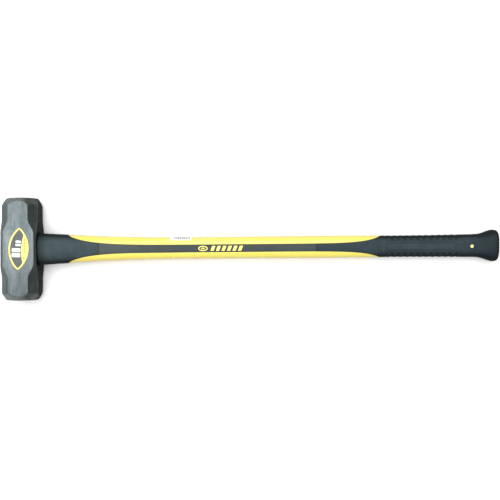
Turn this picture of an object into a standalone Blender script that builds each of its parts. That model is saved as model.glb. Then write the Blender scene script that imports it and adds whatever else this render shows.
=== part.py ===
"""Double-faced sledgehammer, about 10 lb, with an overmoulded fibreglass handle.

The hammer lies on one cheek. The origin is the middle of the lower cheek,
under the centre of the eye. +X runs along the handle towards the butt, Y along
the head from striking face to striking face, and +Z up, out of the front cheek.
Dimensions below are millimetres; the meshes are made in metres.
"""
import math

import bmesh
import bpy
from mathutils import Matrix, Vector

MM = 0.001
GAP = 0.3                   # clearance between pieces that touch

# Head
HEAD_LENGTH = 180.0         # striking face to striking face
HEAD_WIDTH = 63.0           # across the flats, both ways
END_CHAMFER = 14.5          # corner chamfer leg at the octagonal ends
WAIST_CHAMFER = 5.0         # corner chamfer leg at the waist
RUNOUT_START = 26.0         # distance from the middle where the chamfers start
RUNOUT_END = 52.0           # and where they are full
FACE_RADIUS = 27.2          # rim radius of the turned ends
FACE_TAPER = 0.66           # radius the turned bevel gains for each mm along the head
FACE_CROWN = 1.2            # rise of the crowned striking face
FACE_FLAT = 11.0            # half width of the flat patch in its middle

# Eye, an oval that widens away from the handle
EYE_Y_IN, EYE_Z_IN = 19.5, 15.6       # half axes at the handle side
EYE_Y_OUT, EYE_Z_OUT = 21.5, 17.4     # half axes at the far side
EPOXY_SINK = 1.5            # the potting stops this far below the far side
EPOXY_CAP = 3.7             # and closes over the handle's end by this much

# Handle
AXIS_Z = HEAD_WIDTH / 2     # height of the handle's axis over the lower cheek
BUTT_X = 835.0
CORE_RADIUS = 10.5
OVAL_POWER = 2.35           # superellipse exponent of the handle's section
EYE_HANDLE_Y, EYE_HANDLE_Z = 17.5, 13.6   # jacket half axes inside the eye
SKIN = 2.3                  # thickness of strips and tongues
# width of the finished handle at stations along it
WIDTH_STATIONS = (
    (31.8, 56.4), (44.0, 54.5), (76.0, 50.8), (107.0, 47.8), (137.0, 44.3),
    (165.0, 42.2), (205.0, 40.0), (255.0, 38.3), (320.0, 37.9), (420.0, 38.4),
    (520.0, 38.9), (595.0, 38.7), (632.0, 37.8), (697.0, 38.2), (753.0, 39.2),
    (790.0, 40.0), (798.0, 41.0), (804.0, 43.8), (812.0, 49.3), (819.0, 53.8),
    (823.5, 55.4), (828.0, 54.6), (831.2, 51.4), (833.7, 45.0), (835.0, 36.0),
)
# its thickness over its width
THICKNESS_STATIONS = (
    (0.0, 0.80), (822.5, 0.80), (828.0, 0.765), (831.2, 0.68), (833.7, 0.50), (835.0, 0.38),
)
# black stripe between the yellow bands: width at mid length, and its widening
STRIPE_MID = 12.25
STRIPE_HEAD_GAIN, STRIPE_HEAD_X, STRIPE_HEAD_FADE = 29.3, 89.0, 35.0
STRIPE_GRIP_GAIN, STRIPE_GRIP_X, STRIPE_GRIP_FADE = 23.7, 624.5, 30.5
BAND_START, BAND_END = 80.0, 629.0        # tips of the yellow bands
TIP_LENGTH = 9.0                          # length over which a tip rounds off
COLLAR_TONGUE_END = 136.5
GRIP_TONGUE_START = 515.0
DOT_X, DOT_RADIUS = 785.0, 3.25           # yellow boss that shows in the grip
CORE_END = 824.0
POCKET_END = 827.0

# Labels
DECAL_LENGTH, DECAL_WIDTH, DECAL_THICK = 74.0, 34.0, 0.3
DECAL_X, DECAL_TILT = 2.0, math.radians(2.0)
TAG_START, TAG_END, TAG_SPAN = 260.0, 297.0, math.radians(50.0)

BAND_CELLS = 6              # cells across one yellow band
STRIPE_CELLS = 10           # cells across one black stripe
RAMP = 0.4                  # length of the step at a yellow band's tip


def smooth(t):
    t = min(1.0, max(0.0, t))
    return t * t * (3.0 - 2.0 * t)


def lerp(a, b, t):
    return a + (b - a) * t


def station_value(stations, x):
    """Cubic curve through the stations, with slopes that never overshoot."""
    if x <= stations[0][0]:
        return stations[0][1]
    if x >= stations[-1][0]:
        return stations[-1][1]
    n = len(stations)
    secant = [(stations[i + 1][1] - stations[i][1]) /
              (stations[i + 1][0] - stations[i][0]) for i in range(n - 1)]

    def slope(i):
        if i == 0:
            return secant[0]
        if i == n - 1:
            return secant[-1]
        if secant[i - 1] * secant[i] <= 0.0:
            return 0.0
        return 2.0 * secant[i - 1] * secant[i] / (secant[i - 1] + secant[i])

    for i in range(n - 1):
        x0, y0 = stations[i]
        x1, y1 = stations[i + 1]
        if x <= x1:
            h = x1 - x0
            t = (x - x0) / h
            return ((1 + 2 * t) * (1 - t) ** 2 * y0 + t * (1 - t) ** 2 * h * slope(i)
                    + t * t * (3 - 2 * t) * y1 + t * t * (t - 1) * h * slope(i + 1))
    return stations[-1][1]


def half_axes(x):
    """Outer half axes of the finished handle at x."""
    w = station_value(WIDTH_STATIONS, x)
    return w / 2, w * station_value(THICKNESS_STATIONS, x) / 2


def groove_axes(x):
    """Half axes of the jacket where rubber or a strip covers it."""
    a, b = half_axes(min(x, 770.0))
    a, b = a - SKIN - GAP, b - SKIN - GAP
    if x < BAND_START:
        t = smooth((x - 31.5) / (BAND_START - 31.5))
        a0, b0 = half_axes(BAND_START)
        a = lerp(EYE_HANDLE_Y, a0 - SKIN - GAP, t)
        b = lerp(EYE_HANDLE_Z, b0 - SKIN - GAP, t)
    return a, b


def oval(a, b, angle):
    """Point of the superellipse; angle 0 is +Y, a quarter turn is +Z."""
    c, s = math.cos(angle), math.sin(angle)
    p = 2.0 / OVAL_POWER
    return (math.copysign(abs(c) ** p, c) * a, math.copysign(abs(s) ** p, s) * b)


def stripe_width(x):
    return (STRIPE_MID
            + STRIPE_HEAD_GAIN * math.exp(-(x - STRIPE_HEAD_X) / STRIPE_HEAD_FADE)
            + STRIPE_GRIP_GAIN * math.exp(-(STRIPE_GRIP_X - x) / STRIPE_GRIP_FADE))


def band_angle(x):
    """Half angle of the yellow band: where its edge meets the stripe.

    Towards each tip it is rounded off like the end of a paddle.
    """
    x = min(max(x, BAND_START), BAND_END)
    a, _ = half_axes(x)
    ratio = min(0.975, stripe_width(x) / 2 / a)
    short = 1.0 - min(1.0, (0.4 + min(x - BAND_START, BAND_END - x)) / TIP_LENGTH)
    return math.acos(ratio ** (OVAL_POWER / 2)) * math.sqrt(1.0 - short * short)


def loop_angles(x, clearance):
    """Grid angles around the handle, in cells of band, stripe, band, stripe."""
    edge = band_angle(x) + clearance
    angles = [lerp(-edge, edge, i / BAND_CELLS) for i in range(BAND_CELLS)]
    angles += [lerp(edge, math.pi - edge, i / STRIPE_CELLS) for i in range(STRIPE_CELLS)]
    angles += [lerp(math.pi - edge, math.pi + edge, i / BAND_CELLS) for i in range(BAND_CELLS)]
    angles += [lerp(math.pi + edge, 2 * math.pi - edge, i / STRIPE_CELLS)
               for i in range(STRIPE_CELLS)]
    return angles


def spaced(start, end, count):
    return [lerp(start, end, i / count) for i in range(count + 1)]


def material(name, colour, roughness, metallic):
    mat = bpy.data.materials.new(name)
    mat.use_nodes = True
    shader = mat.node_tree.nodes["Principled BSDF"]
    shader.inputs["Base Color"].default_value = (*colour, 1.0)
    shader.inputs["Roughness"].default_value = roughness
    shader.inputs["Metallic"].default_value = metallic
    mat.diffuse_color = (*colour, 1.0)
    return mat


def finish(name, bm, mat, sharp=35.0):
    """Turn the bmesh into a named object with outward normals."""
    bmesh.ops.recalc_face_normals(bm, faces=bm.faces[:])
    if bm.calc_volume(signed=True) < 0.0:
        bmesh.ops.reverse_faces(bm, faces=bm.faces[:])
    mesh = bpy.data.meshes.new(name)
    bm.to_mesh(mesh)
    bm.free()
    mesh.materials.append(mat)
    mesh.shade_smooth()
    mesh.set_sharp_from_angle(angle=math.radians(sharp))
    obj = bpy.data.objects.new(name, mesh)
    bpy.context.scene.collection.objects.link(obj)
    return obj


def place(x, y, z):
    """Handle coordinates, measured from its axis, to metres."""
    return (x * MM, y * MM, (z + AXIS_Z) * MM)


def skin_body(name, stations, outer, inner, present, mat, wrap=True, caps=(False, False)):
    """Closed shell over a grid of stations and angles.

    outer(i) and inner(i) give the loop points of station i, and present(i, j)
    says whether the cell from station i and angle j holds material. A capped
    end is closed across the whole loop, outside and inside.
    """
    bm = bmesh.new()
    rings_out = [outer(i) for i in range(len(stations))]
    rings_in = [inner(i) for i in range(len(stations))]
    count = len(rings_out[0])
    cells = count if wrap else count - 1
    last = len(stations) - 2
    made = {}

    def vert(side, i, j):
        j %= count
        key = (side, i, j)
        if key not in made:
            made[key] = bm.verts.new(place(*(rings_out if side else rings_in)[i][j]))
        return made[key]

    def solid(i, j):
        if wrap:
            j %= cells
        elif not 0 <= j < cells:
            return False
        return 0 <= i <= last and present(i, j)

    for i in range(last + 1):
        for j in range(cells):
            if not solid(i, j):
                continue
            for side in (True, False):
                bm.faces.new((vert(side, i, j), vert(side, i + 1, j),
                              vert(side, i + 1, j + 1), vert(side, i, j + 1)))
            if not solid(i, j - 1):
                bm.faces.new((vert(True, i, j), vert(True, i + 1, j),
                              vert(False, i + 1, j), vert(False, i, j)))
            if not solid(i, j + 1):
                bm.faces.new((vert(True, i, j + 1), vert(True, i + 1, j + 1),
                              vert(False, i + 1, j + 1), vert(False, i, j + 1)))
            if not solid(i - 1, j) and not (caps[0] and i == 0):
                bm.faces.new((vert(True, i, j), vert(True, i, j + 1),
                              vert(False, i, j + 1), vert(False, i, j)))
            if not solid(i + 1, j) and not (caps[1] and i == last):
                bm.faces.new((vert(True, i + 1, j), vert(True, i + 1, j + 1),
                              vert(False, i + 1, j + 1), vert(False, i + 1, j)))
    for capped, i in ((caps[0], 0), (caps[1], last + 1)):
        if capped:
            for side in (True, False):
                bm.faces.new([vert(side, i, j) for j in range(count)])
    return finish(name, bm, mat)


def cylinder(name, radius, start, end, mat, segments=32):
    """Cylinder along X, about the handle's axis."""
    bm = bmesh.new()
    turn = Matrix.Rotation(math.pi / 2, 4, "Y")
    shift = Matrix.Translation(place((start + end) / 2, 0.0, 0.0))
    bmesh.ops.create_cone(bm, cap_ends=True, segments=segments, radius1=radius * MM,
                          radius2=radius * MM, depth=(end - start) * MM, matrix=shift @ turn)
    return finish(name, bm, mat)


def upright(name, radius, x, z0, z1):
    """Cylinder along Z at a place on the handle, used to cut or to join."""
    bm = bmesh.new()
    shift = Matrix.Translation(place(x, 0.0, (z0 + z1) / 2))
    bmesh.ops.create_cone(bm, cap_ends=True, segments=20, radius1=radius * MM,
                          radius2=radius * MM, depth=(z1 - z0) * MM, matrix=shift)
    obj = finish(name, bm, bpy.data.materials["guide"])
    obj.hide_render = True
    obj.display_type = "WIRE"
    return obj


def boolean(target, tool, operation):
    mod = target.modifiers.new(tool.name, "BOOLEAN")
    mod.operation = operation
    mod.object = tool
    mod.solver = "EXACT"


# ---------------------------------------------------------------- the head

def head_section(y):
    """Half width, chamfer leg for the head at distance y from its middle."""
    leg = lerp(WAIST_CHAMFER, END_CHAMFER,
               smooth((abs(y) - RUNOUT_START) / (RUNOUT_END - RUNOUT_START)))
    return HEAD_WIDTH / 2, leg


def octagon(bm, y, half, leg):
    ring = []
    for sx, sz, first in ((1, 1, True), (1, -1, False), (-1, -1, True), (-1, 1, False)):
        wide, tall = (half, half - leg), (half - leg, half)
        for px, pz in ((tall, wide) if first else (wide, tall)):
            ring.append(bm.verts.new((sx * px * MM, y * MM, (sz * pz + AXIS_Z) * MM)))
    return ring


def build_head(mat):
    """Octagonal bar whose ends are turned to a cone, with the eye through it."""
    end = HEAD_LENGTH / 2 + 4.0
    run = spaced(RUNOUT_START, RUNOUT_END, 8)
    steps = [(y, *head_section(y)) for y in [0.0, 13.0] + run + [66.0, end]]
    bm = bmesh.new()
    full = [(-y, h, c) for y, h, c in reversed(steps[1:])] + steps
    rings = [octagon(bm, *s) for s in full]
    for one, two in zip(rings, rings[1:]):
        for k in range(8):
            bm.faces.new((one[k], two[k], two[(k + 1) % 8], one[(k + 1) % 8]))
    bm.faces.new(rings[0])
    bm.faces.new(rings[-1])
    head = finish("hammer_head", bm, mat, sharp=28.0)
    boolean(head, build_spindle(), "INTERSECT")
    boolean(head, build_eye_cutter(), "DIFFERENCE")
    return head


def build_spindle():
    """Turned solid about the head's axis that shapes its bevels and crowned faces."""
    rim = HEAD_LENGTH / 2 - FACE_CROWN
    wide = HEAD_WIDTH / 2 + 8.0
    half = [(0.0, wide), (rim - (wide - FACE_RADIUS) / FACE_TAPER, wide), (rim, FACE_RADIUS)]
    for t in (0.5, 1.0):
        half.append((rim + FACE_CROWN * (1 - (1 - t) ** 2), lerp(FACE_RADIUS, FACE_FLAT, t)))
    full = [(-y, r) for y, r in reversed(half[1:])] + half
    count = 48
    bm = bmesh.new()
    rings = []
    for y, r in full:
        turns = [2 * math.pi * (k + 0.5) / count for k in range(count)]
        rings.append([bm.verts.new(place(r * math.cos(t), y, r * math.sin(t))) for t in turns])
    for one, two in zip(rings, rings[1:]):
        for k in range(count):
            bm.faces.new((one[k], two[k], two[(k + 1) % count], one[(k + 1) % count]))
    bm.faces.new(rings[0])
    bm.faces.new(rings[-1])
    spindle = finish("face_spindle", bm, bpy.data.materials["guide"])
    spindle.hide_render = True
    spindle.display_type = "WIRE"
    return spindle


def eye_axes(x):
    t = (HEAD_WIDTH / 2 - x) / HEAD_WIDTH
    return lerp(EYE_Y_IN, EYE_Y_OUT, t), lerp(EYE_Z_IN, EYE_Z_OUT, t)


def oval_loop(x, a, b, count=32):
    return [(x, *oval(a, b, 2 * math.pi * k / count)) for k in range(count)]


def build_eye_cutter():
    bm = bmesh.new()
    rings = []
    for x in (-HEAD_WIDTH / 2 - 6, HEAD_WIDTH / 2 + 6):
        rings.append([bm.verts.new(place(*p)) for p in oval_loop(x, *eye_axes(x))])
    for k in range(32):
        bm.faces.new((rings[0][k], rings[1][k], rings[1][(k + 1) % 32], rings[0][(k + 1) % 32]))
    bm.faces.new(rings[0])
    bm.faces.new(rings[1])
    cutter = finish("eye_cutter", bm, bpy.data.materials["guide"])
    cutter.hide_render = True
    cutter.display_type = "WIRE"
    return cutter


def build_epoxy(mat):
    """Cup that fills the eye round the handle and closes over its end."""
    far = -HEAD_WIDTH / 2 + EPOXY_SINK
    outside = spaced(HEAD_WIDTH / 2 - GAP, far, 3)
    inside = spaced(HEAD_WIDTH / 2 - GAP, far + EPOXY_CAP, 3)

    def outer(i):
        a, b = eye_axes(outside[i])
        return oval_loop(outside[i], a - GAP, b - GAP)

    def inner(i):
        return oval_loop(inside[i], EYE_HANDLE_Y + GAP, EYE_HANDLE_Z + GAP)

    return skin_body("eye_epoxy", outside, outer, inner, lambda i, j: True, mat,
                     caps=(False, True))


# -------------------------------------------------------------- the handle

JACKET_START = -HEAD_WIDTH / 2 + EPOXY_SINK + EPOXY_CAP + GAP
JACKET_END = CORE_END

# Stations shared by the jacket and what lies on it, closer at the bands' tips
COLLAR_RING = [HEAD_WIDTH / 2 + GAP, 38.0, 45.0, 54.0, 64.0, 73.0, BAND_START - RAMP]
HEAD_TONGUE = [BAND_START + (COLLAR_TONGUE_END - BAND_START) * (k / 10) ** 1.6
               for k in range(11)]
STRIP_RUN = [COLLAR_TONGUE_END, 143.0, 155.0, 170.0, 188.0, 210.0, 240.0, 280.0, 340.0,
             430.0, GRIP_TONGUE_START]
GRIP_TONGUE = [BAND_END - (BAND_END - GRIP_TONGUE_START) * (1 - k / 13) ** 1.6
               for k in range(14)]
GRIP_RING = [BAND_END + RAMP, 665.0, 697.0, 725.0, 753.0, 770.0]


def build_jacket(mat):
    """Yellow body: full width in the bands, recessed under rubber and strips."""
    stations = ([JACKET_START, 31.5] + COLLAR_RING[1:] + HEAD_TONGUE + STRIP_RUN[1:-1]
                + GRIP_TONGUE + GRIP_RING + [JACKET_END])
    step = 0.012

    def outer(i):
        x = stations[i]
        raised = BAND_START <= x <= BAND_END
        top, low = half_axes(x), groove_axes(x)
        edge = band_angle(x)
        loop = []
        for base in (0.0, math.pi):
            for k in range(BAND_CELLS + 1):
                angle = base + lerp(-edge, edge, k / BAND_CELLS)
                loop.append((x, *oval(*(top if raised else low), angle)))
            for k in range(STRIPE_CELLS + 1):
                angle = base + lerp(edge + step, math.pi - edge - step, k / STRIPE_CELLS)
                loop.append((x, *oval(*low, angle)))
        return loop

    def inner(i):
        r = CORE_RADIUS + GAP
        count = 2 * (BAND_CELLS + STRIPE_CELLS + 2)
        turns = [2 * math.pi * (k - BAND_CELLS / 2) / count for k in range(count)]
        return [(stations[i], r * math.cos(t), r * math.sin(t)) for t in turns]

    jacket = skin_body("handle_jacket", stations, outer, inner, lambda i, j: True, mat)
    _, b = half_axes(DOT_X)
    for name, side in (("boss_front", 1), ("boss_rear", -1)):
        low, high = sorted((side * (CORE_RADIUS + 1.3), side * (b - 0.1)))
        boolean(jacket, upright(name, DOT_RADIUS, DOT_X, low, high), "UNION")
    return jacket


CLEAR = 0.034               # angle kept between a groove wall and its filling


def in_stripe(j):
    """Whether grid cell j lies in the front or the rear stripe."""
    return (j % (BAND_CELLS + STRIPE_CELLS)) >= BAND_CELLS


def skin_inner(x):
    a, b = groove_axes(x)
    return a + GAP, b + GAP


def loop_at(x, axes):
    return [(x, *oval(*axes, angle)) for angle in loop_angles(x, CLEAR)]


def build_collar(mat):
    ring_end = BAND_START - RAMP - GAP
    stations = COLLAR_RING[:-1] + [ring_end] + HEAD_TONGUE[:-1] + [COLLAR_TONGUE_END - GAP]
    return skin_body("overstrike_collar", stations,
                     lambda i: loop_at(stations[i], half_axes(stations[i])),
                     lambda i: loop_at(stations[i], skin_inner(stations[i])),
                     lambda i, j: stations[i + 1] <= ring_end or in_stripe(j), mat)


def build_strip(name, first, mat):
    """Inlay strip: front (first cell of the front stripe) or rear."""
    stations = STRIP_RUN[:-1] + [GRIP_TONGUE_START - GAP]
    return skin_body(name, stations,
                     lambda i: loop_at(stations[i], half_axes(stations[i])),
                     lambda i: loop_at(stations[i], skin_inner(stations[i])),
                     lambda i, j: first <= j < first + STRIPE_CELLS, mat)


def build_grip(mat):
    ring_start = BAND_END + RAMP + GAP
    stations = (GRIP_TONGUE + [ring_start] + GRIP_RING[1:]
                + [785.0, 798.0, 804.0, 808.0, 812.0, 816.0, 820.0, 823.5, 828.0, 831.2,
                   833.7, BUTT_X])

    def inner(i):
        x = stations[i]
        if x <= 785.0:
            return loop_at(x, skin_inner(x))
        reach = lerp(785.0, POCKET_END, (x - 785.0) / (BUTT_X - 785.0))
        return loop_at(reach, skin_inner(reach))

    grip = skin_body("grip_sleeve", stations,
                     lambda i: loop_at(stations[i], half_axes(stations[i])), inner,
                     lambda i, j: stations[i] >= ring_start or in_stripe(j), mat,
                     caps=(False, True))
    for name, side in (("window_front", 1), ("window_rear", -1)):
        low, high = sorted((side * (CORE_RADIUS + 1.0), side * 26.0))
        boolean(grip, upright(name, DOT_RADIUS + GAP, DOT_X, low, high), "DIFFERENCE")
    return grip


# -------------------------------------------------------------- the labels

def build_decal(mat):
    """Pointed oval film: two equal arcs that meet at its tips."""
    half_len, half_wid = DECAL_LENGTH / 2, DECAL_WIDTH / 2
    radius = (half_len ** 2 + half_wid ** 2) / (2 * half_wid)
    sweep = math.asin(half_len / radius)
    outline = []
    for side in (1, -1):
        for k in range(14):
            angle = lerp(-sweep, sweep, k / 14)
            outline.append((side * (radius * math.cos(angle) - radius + half_wid),
                            side * radius * math.sin(angle)))
    bm = bmesh.new()
    base = HEAD_WIDTH + GAP
    face = bm.faces.new([bm.verts.new((x * MM, y * MM, base * MM)) for x, y in outline])
    raised = bmesh.ops.extrude_face_region(bm, geom=[face])["geom"]
    bmesh.ops.translate(bm, vec=(0, 0, DECAL_THICK * MM),
                        verts=[v for v in raised if isinstance(v, bmesh.types.BMVert)])
    bmesh.ops.rotate(bm, verts=bm.verts[:], cent=Vector((0, 0, 0)),
                     matrix=Matrix.Rotation(-DECAL_TILT, 3, "Z"))
    bmesh.ops.translate(bm, vec=(DECAL_X * MM, 0, 0), verts=bm.verts[:])
    return finish("head_decal", bm, mat)


def build_tag(mat):
    """Paper label over the handle's +Y edge."""
    stations = [TAG_START, (TAG_START + TAG_END) / 2, TAG_END]

    def loop(i, lift):
        a, b = half_axes(stations[i])
        return [(stations[i], *oval(a + lift, b + lift, lerp(-TAG_SPAN, TAG_SPAN, k / 10)))
                for k in range(11)]

    return skin_body("barcode_label", stations, lambda i: loop(i, GAP + 0.3),
                     lambda i: loop(i, GAP), lambda i, j: True, mat, wrap=False)


def main():
    for obj in list(bpy.data.objects):
        bpy.data.objects.remove(obj, do_unlink=True)
    steel = material("forged_steel", (0.23, 0.25, 0.25), 0.42, 0.9)
    resin = material("epoxy", (0.03, 0.03, 0.03), 0.35, 0.0)
    glass = material("glass_fibre", (0.62, 0.60, 0.45), 0.5, 0.0)
    yellow = material("yellow_plastic", (0.90, 0.72, 0.08), 0.25, 0.0)
    rubber = material("black_rubber", (0.045, 0.055, 0.06), 0.6, 0.0)
    film = material("decal_film", (0.12, 0.13, 0.13), 0.3, 0.0)
    paper = material("label_paper", (0.85, 0.85, 0.83), 0.6, 0.0)
    material("guide", (1.0, 0.3, 0.8), 0.5, 0.0)

    build_head(steel)
    build_epoxy(resin)
    cylinder("glass_fibre_core", CORE_RADIUS, JACKET_START, CORE_END, glass)
    build_jacket(yellow)
    build_collar(rubber)
    build_strip("front_strip", BAND_CELLS, rubber)
    build_strip("rear_strip", 2 * BAND_CELLS + STRIPE_CELLS, rubber)
    build_grip(rubber)
    build_decal(film)
    build_tag(paper)


main()
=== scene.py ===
"""Looks of the sledgehammer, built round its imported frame.

Lengths in the code are millimetres from the eye's centre unless a name says
otherwise; everything is turned into metres when a mesh is made.
"""
import math

import bmesh
import bpy
import numpy as np
from mathutils import Matrix, Vector, noise


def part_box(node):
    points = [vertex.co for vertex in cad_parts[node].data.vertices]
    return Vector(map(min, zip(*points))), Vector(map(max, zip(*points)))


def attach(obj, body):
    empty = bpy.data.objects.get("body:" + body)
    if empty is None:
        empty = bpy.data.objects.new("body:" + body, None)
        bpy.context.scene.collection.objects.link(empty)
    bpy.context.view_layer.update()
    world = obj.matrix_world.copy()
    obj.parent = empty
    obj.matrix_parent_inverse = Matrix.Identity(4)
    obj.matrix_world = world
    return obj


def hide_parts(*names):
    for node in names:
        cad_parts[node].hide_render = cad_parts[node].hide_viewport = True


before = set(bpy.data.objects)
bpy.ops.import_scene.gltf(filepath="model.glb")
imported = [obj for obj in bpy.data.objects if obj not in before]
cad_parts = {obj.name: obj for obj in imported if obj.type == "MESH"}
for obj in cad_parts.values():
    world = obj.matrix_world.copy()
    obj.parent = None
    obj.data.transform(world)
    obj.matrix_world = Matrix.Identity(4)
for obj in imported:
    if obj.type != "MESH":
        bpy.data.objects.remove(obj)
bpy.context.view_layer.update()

MM = 0.001

# ------------------------------------------------------------ the frame's sizes
head_lo, head_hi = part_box("hammer_head")
grip_lo, grip_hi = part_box("grip_sleeve")
AXIS_Z = (head_lo[2] + head_hi[2]) / 2 / MM
HEAD_WIDTH = (head_hi[2] - head_lo[2]) / MM
HEAD_LENGTH = 180.0
BUTT_X = 835.0

END_CHAMFER, WAIST_CHAMFER = 14.5, 5.0
RUNOUT_START, RUNOUT_END = 26.0, 52.0
FACE_RADIUS, FACE_TAPER, FACE_CROWN = 27.2, 0.66, 1.2     # turned ends of the head
EYE_Y_IN, EYE_Z_IN, EYE_Y_OUT, EYE_Z_OUT = 19.5, 15.6, 21.5, 17.4
CORE_RADIUS = 10.5
OVAL_POWER = 2.35
EYE_HANDLE_Y, EYE_HANDLE_Z = 17.5, 13.6
SKIN = 2.3
GAP = 0.3
WIDTH_STATIONS = (
    (31.8, 56.4), (44.0, 54.5), (76.0, 50.8), (107.0, 47.8), (137.0, 44.3),
    (165.0, 42.2), (205.0, 40.0), (255.0, 38.3), (320.0, 37.9), (420.0, 38.4),
    (520.0, 38.9), (595.0, 38.7), (632.0, 37.8), (697.0, 38.2), (753.0, 39.2),
    (790.0, 40.0), (798.0, 41.0), (804.0, 43.8), (812.0, 49.3), (819.0, 53.8),
    (823.5, 55.4), (828.0, 54.6), (831.2, 51.4), (833.7, 45.0), (835.0, 36.0),
)
THICKNESS_STATIONS = (
    (0.0, 0.80), (822.5, 0.80), (828.0, 0.765), (831.2, 0.68), (833.7, 0.50), (835.0, 0.38),
)
STRIPE_MID = 13.6
STRIPE_HEAD_GAIN, STRIPE_HEAD_X, STRIPE_HEAD_FADE = 28.4, 89.0, 36.5
STRIPE_GRIP_GAIN, STRIPE_GRIP_X, STRIPE_GRIP_FADE = 22.5, 624.5, 27.5
BAND_START, BAND_END, TIP_LENGTH = 80.0, 629.0, 9.0
COLLAR_TONGUE_END, GRIP_TONGUE_START = 136.5, 515.0
DOT_X, DOT_RADIUS = 785.0, 2.90
HANDLE_TURN = math.radians(6.0)     # the handle sits turned this far in the eye
JACKET_START, JACKET_END = -26.0, 824.0
STRIP_SINK = 0.5            # the inlay strips lie this far under the yellow
FIT = 0.10                  # clearance left between neighbouring pieces


# ---------------------------------------------------------------- small helpers
def smooth(t):
    t = min(1.0, max(0.0, t))
    return t * t * (3.0 - 2.0 * t)


def lerp(a, b, t):
    return a + (b - a) * t


def spaced(start, end, count):
    return [lerp(start, end, i / count) for i in range(count + 1)]


def station_value(stations, x):
    if x <= stations[0][0]:
        return stations[0][1]
    if x >= stations[-1][0]:
        return stations[-1][1]
    n = len(stations)
    secant = [(stations[i + 1][1] - stations[i][1]) /
              (stations[i + 1][0] - stations[i][0]) for i in range(n - 1)]

    def slope(i):
        if i == 0:
            return secant[0]
        if i == n - 1:
            return secant[-1]
        if secant[i - 1] * secant[i] <= 0.0:
            return 0.0
        return 2.0 * secant[i - 1] * secant[i] / (secant[i - 1] + secant[i])

    for i in range(n - 1):
        x0, y0 = stations[i]
        x1, y1 = stations[i + 1]
        if x <= x1:
            h = x1 - x0
            t = (x - x0) / h
            return ((1 + 2 * t) * (1 - t) ** 2 * y0 + t * (1 - t) ** 2 * h * slope(i)
                    + t * t * (3 - 2 * t) * y1 + t * t * (t - 1) * h * slope(i + 1))
    return stations[-1][1]


def half_axes(x):
    w = station_value(WIDTH_STATIONS, x)
    return w / 2, w * station_value(THICKNESS_STATIONS, x) / 2


def groove_axes(x):
    a, b = half_axes(min(x, 770.0))
    a, b = a - SKIN - GAP, b - SKIN - GAP
    if x < BAND_START:
        t = smooth((x - 31.5) / (BAND_START - 31.5))
        a0, b0 = half_axes(BAND_START)
        a = lerp(EYE_HANDLE_Y, a0 - SKIN - GAP, t)
        b = lerp(EYE_HANDLE_Z, b0 - SKIN - GAP, t)
    return a, b


def oval(a, b, angle, lift=0.0):
    """Point of the superellipse, moved along its outward normal by lift."""
    c, s = math.cos(angle), math.sin(angle)
    p = 2.0 / OVAL_POWER
    y = math.copysign(abs(c) ** p, c) * a
    z = math.copysign(abs(s) ** p, s) * b
    if lift:
        ny = math.copysign(abs(y / a) ** (OVAL_POWER - 1), y) / a
        nz = math.copysign(abs(z / b) ** (OVAL_POWER - 1), z) / b
        d = math.hypot(ny, nz)
        y += ny / d * lift
        z += nz / d * lift
    return y, z


def arc_speed(a, b, angle):
    """Millimetres of arc for each radian of the oval's angle."""
    p, q = oval(a, b, angle - 0.02), oval(a, b, angle + 0.02)
    return math.hypot(q[0] - p[0], q[1] - p[1]) / 0.04


def stripe_width(x):
    return (STRIPE_MID
            + STRIPE_HEAD_GAIN * math.exp(-(x - STRIPE_HEAD_X) / STRIPE_HEAD_FADE)
            + STRIPE_GRIP_GAIN * math.exp(-(STRIPE_GRIP_X - x) / STRIPE_GRIP_FADE))


def band_angle(x):
    x = min(max(x, BAND_START), BAND_END)
    a, _ = half_axes(x)
    ratio = min(0.975, stripe_width(x) / 2 / a)
    short = 1.0 - min(1.0, (0.06 + min(x - BAND_START, BAND_END - x)) / TIP_LENGTH)
    return math.acos(ratio ** (OVAL_POWER / 2)) * math.sqrt(1.0 - short * short)


# ------------------------------------------------------------------ mesh making
turn = [0.0]


def turn_share(x):
    """The handle's turn is less in the eye than along its length."""
    t = np.clip((np.asarray(x) - 85.0) / 165.0, 0.0, 1.0)
    return 0.4 + 0.6 * t * t * (3.0 - 2.0 * t)


def turned(y, z, angle):
    c, s = np.cos(angle), np.sin(angle)
    return y * c - z * s, y * s + z * c


def new_object(name, verts, faces, mat, sharp=38.0, attributes=None):
    """Object from millimetre points measured from the handle's axis."""
    mesh = bpy.data.meshes.new(name)
    pts = np.asarray(verts, dtype=np.float64) * MM
    pts[:, 1], pts[:, 2] = turned(pts[:, 1].copy(), pts[:, 2].copy(),
                                    turn[0] * turn_share(pts[:, 0] / MM))
    pts[:, 2] += AXIS_Z * MM
    mesh.from_pydata(pts.tolist(), [], faces)
    mesh.materials.append(mat)
    for key, values in (attributes or {}).items():
        layer = mesh.attributes.new(key, "FLOAT", "POINT")
        layer.data.foreach_set("value", np.asarray(values, dtype=np.float32))
    bm = bmesh.new()
    bm.from_mesh(mesh)
    bmesh.ops.recalc_face_normals(bm, faces=bm.faces[:])
    if bm.calc_volume(signed=True) < 0.0:
        bmesh.ops.reverse_faces(bm, faces=bm.faces[:])
    bm.to_mesh(mesh)
    bm.free()
    mesh.shade_smooth()
    mesh.set_sharp_from_angle(angle=math.radians(sharp))
    obj = bpy.data.objects.new(name, mesh)
    bpy.context.scene.collection.objects.link(obj)
    return obj


def keep(obj, slot, *nodes):
    """Rides on the only body and stands for CAD nodes; the slot argument is not used."""
    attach(obj, "root")
    if nodes:
        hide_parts(*nodes)
    return obj


def apply_modifiers(obj):
    dg = bpy.context.evaluated_depsgraph_get()
    mesh = bpy.data.meshes.new_from_object(obj.evaluated_get(dg), depsgraph=dg)
    obj.modifiers.clear()
    old = obj.data
    obj.data = mesh
    mesh.name = old.name
    bpy.data.meshes.remove(old)


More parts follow.
